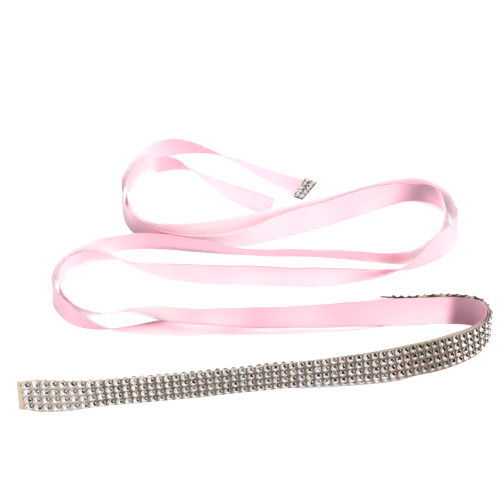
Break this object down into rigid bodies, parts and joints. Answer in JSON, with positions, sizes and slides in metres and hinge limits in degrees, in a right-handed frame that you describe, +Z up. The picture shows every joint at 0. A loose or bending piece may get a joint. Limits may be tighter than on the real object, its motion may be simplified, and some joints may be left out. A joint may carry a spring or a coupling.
{
  "type": "satin sash with rhinestone trim",
  "caption": "Narrow pink satin ribbon sash with a band of rhinestones sewn along its middle, folded in half and laid in S bends on a table, one end tipped with rhinestones.",
  "frame": {"origin": "bottom centre of the bounding box of the laid out sash, on the table", "axes": "+Z up from the table; +Y from the rhinestone band at the front towards the tails at the back; +X to the right seen from the front"},
  "size_m": [0.226, 0.2242, 0.0196],
  "materials": {
    "satin": "pale pink double-faced satin with a soft sheen",
    "rhinestone_trim": "clear rhinestones in silver cups on a tan backing"
  },
  "bodies": {
    "root": {"front_front_band": "satin", "front_right_turn": "satin", "front_lower_straight": "satin", "front_left_loop_near": "satin", "front_left_loop_far": "satin", "front_middle_straight": "satin", "front_right_loop_near": "satin", "front_right_loop_far": "satin", "front_upper_straight": "satin", "front_upper_loop_near": "satin", "front_upper_loop_far": "satin", "front_tail": "satin", "back_front_band": "satin", "back_right_turn": "satin", "back_lower_straight": "satin", "back_left_loop_near": "satin", "back_left_loop_far": "satin", "back_middle_straight": "satin", "back_right_loop_near": "satin", "back_right_loop_far": "satin", "back_upper_straight": "satin", "back_upper_loop_near": "satin", "back_upper_loop_far": "satin", "back_tail": "satin", "end_fold": "satin", "trim_front": "rhinestone_trim", "trim_turn": "rhinestone_trim", "trim_behind": "rhinestone_trim", "trim_fold": "rhinestone_trim", "tip_trim": "rhinestone_trim"}
  },
  "joints": []
}
